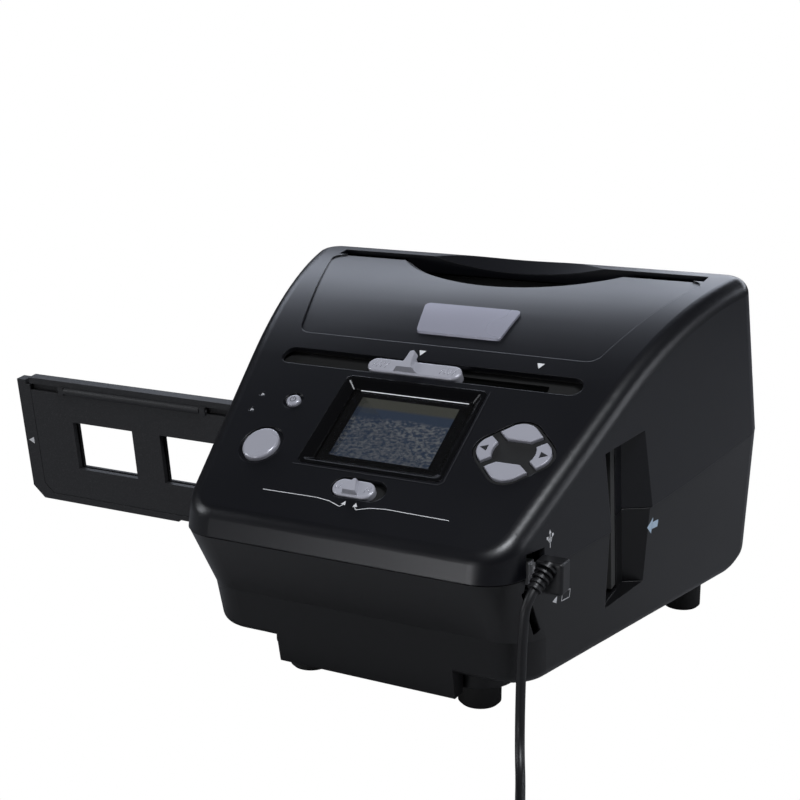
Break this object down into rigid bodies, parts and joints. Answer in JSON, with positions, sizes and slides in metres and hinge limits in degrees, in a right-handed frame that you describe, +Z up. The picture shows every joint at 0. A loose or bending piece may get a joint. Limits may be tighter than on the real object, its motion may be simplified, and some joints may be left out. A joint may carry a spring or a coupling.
{
  "type": "film negative scanner",
  "caption": "Desktop film and photo scanner: black wedge-shaped casing with a sliding slide holder, a long slider, a display, round keys, a top slot for prints and a USB cord.",
  "frame": {"origin": "on the table, at the middle of the four feet", "axes": "+Z up, +Y to the back, +X to the user's right along the slide holder"},
  "size_m": [0.3532, 0.3733, 0.1736],
  "materials": {
    "casing": "satin gloss black ABS",
    "casing_lower": "satin gloss black ABS",
    "silver": "silver lacquered plastic",
    "rubber": "matt black rubber",
    "steel": "plain steel",
    "window": "dark clear pane",
    "display": "lit display",
    "bezel": "gloss black",
    "key_plate": "matt black",
    "board": "green circuit board",
    "lens_mark": "pale light window",
    "dark_plate": "matt black",
    "holder": "fine-grained black",
    "white": "white diffusing plastic",
    "light_box": "pale grey",
    "strip": "pale strip",
    "inner_frame": "matt black",
    "lens": "coated glass",
    "plug": "matt black moulding",
    "cord": "black PVC"
  },
  "bodies": {
    "casing": {"top_cover": "casing", "bottom_cover": "casing_lower", "name_plate": "silver", "rubber_feet": "rubber", "cover_screws": "steel", "display_bezel": "bezel", "display_window": "window", "lcd_module": "display", "key_surround": "key_plate", "left_key_board": "board", "right_key_board": "board", "indicator_lenses": "lens_mark", "slider_track": "dark_plate", "switch_track": "dark_plate", "film_frame": "inner_frame", "guide_rods": "steel", "port_strips": "strip", "camera_bracket": "inner_frame", "sensor_board": "board", "photo_guide": "inner_frame", "photo_lamps": "board", "lamp_covers": "white", "main_board": "board", "board_screws": "steel", "port_board": "board", "usb_socket": "steel", "card_socket": "steel", "usb_plug": "plug", "plug_nose": "steel", "usb_cord": "cord", "usb_coil": "cord", "far_plug": "plug", "far_plug_shell": "steel"},
    "holder": {"holder_base": "holder", "holder_lid": "holder", "hinge_pins": "steel"},
    "backlight": {"slider_knob": "silver", "backlight_housing": "light_box", "backlight_diffuser": "white", "backlight_board": "board"},
    "focus": {"focus_switch": "silver"},
    "lens": {"lens_barrel": "inner_frame", "lens_glass": "lens"},
    "scan_button": {"scan_button": "silver"},
    "power_button": {"power_button": "silver"},
    "mode_key": {"mode_key": "silver"},
    "enter_key": {"enter_key": "silver"},
    "left_key": {"left_key": "silver"},
    "right_key": {"right_key": "silver"}
  },
  "joints": [
    {"name": "holder_slide", "type": "slide", "parent": "casing", "child": "holder", "axis": [1, 0, 0], "range_m": [-0.06, 0.2]},
    {"name": "backlight_slide", "type": "slide", "parent": "casing", "child": "backlight", "axis": [1, 0, 0], "range_m": [0, 0.055]},
    {"name": "focus_slide", "type": "slide", "parent": "casing", "child": "focus", "axis": [1, 0, 0], "range_m": [0, 0.0048]},
    {"name": "lens_slide", "type": "slide", "parent": "casing", "child": "lens", "axis": [0, -0.9919, -0.1271], "range_m": [0, 0.0012]},
    {"name": "scan_button_press", "type": "slide", "parent": "casing", "child": "scan_button", "axis": [0, 0.515, -0.8572], "range_m": [0, 0.0009], "stiffness_N_per_m": 900, "springref_m": -0.0005},
    {"name": "power_button_press", "type": "slide", "parent": "casing", "child": "power_button", "axis": [0, 0.515, -0.8572], "range_m": [0, 0.0009], "stiffness_N_per_m": 900, "springref_m": -0.0005},
    {"name": "mode_key_press", "type": "slide", "parent": "casing", "child": "mode_key", "axis": [0, 0.515, -0.8572], "range_m": [0, 0.0009], "stiffness_N_per_m": 900, "springref_m": -0.0005},
    {"name": "enter_key_press", "type": "slide", "parent": "casing", "child": "enter_key", "axis": [0, 0.515, -0.8572], "range_m": [0, 0.0009], "stiffness_N_per_m": 900, "springref_m": -0.0005},
    {"name": "left_key_press", "type": "slide", "parent": "casing", "child": "left_key", "axis": [0, 0.515, -0.8572], "range_m": [0, 0.0009], "stiffness_N_per_m": 900, "springref_m": -0.0005},
    {"name": "right_key_press", "type": "slide", "parent": "casing", "child": "right_key", "axis": [0, 0.515, -0.8572], "range_m": [0, 0.0009], "stiffness_N_per_m": 900, "springref_m": -0.0005}
  ],
  "couplings": [
    {"joint": "lens_slide", "follows": "focus_slide", "ratio": 0.25}
  ]
}
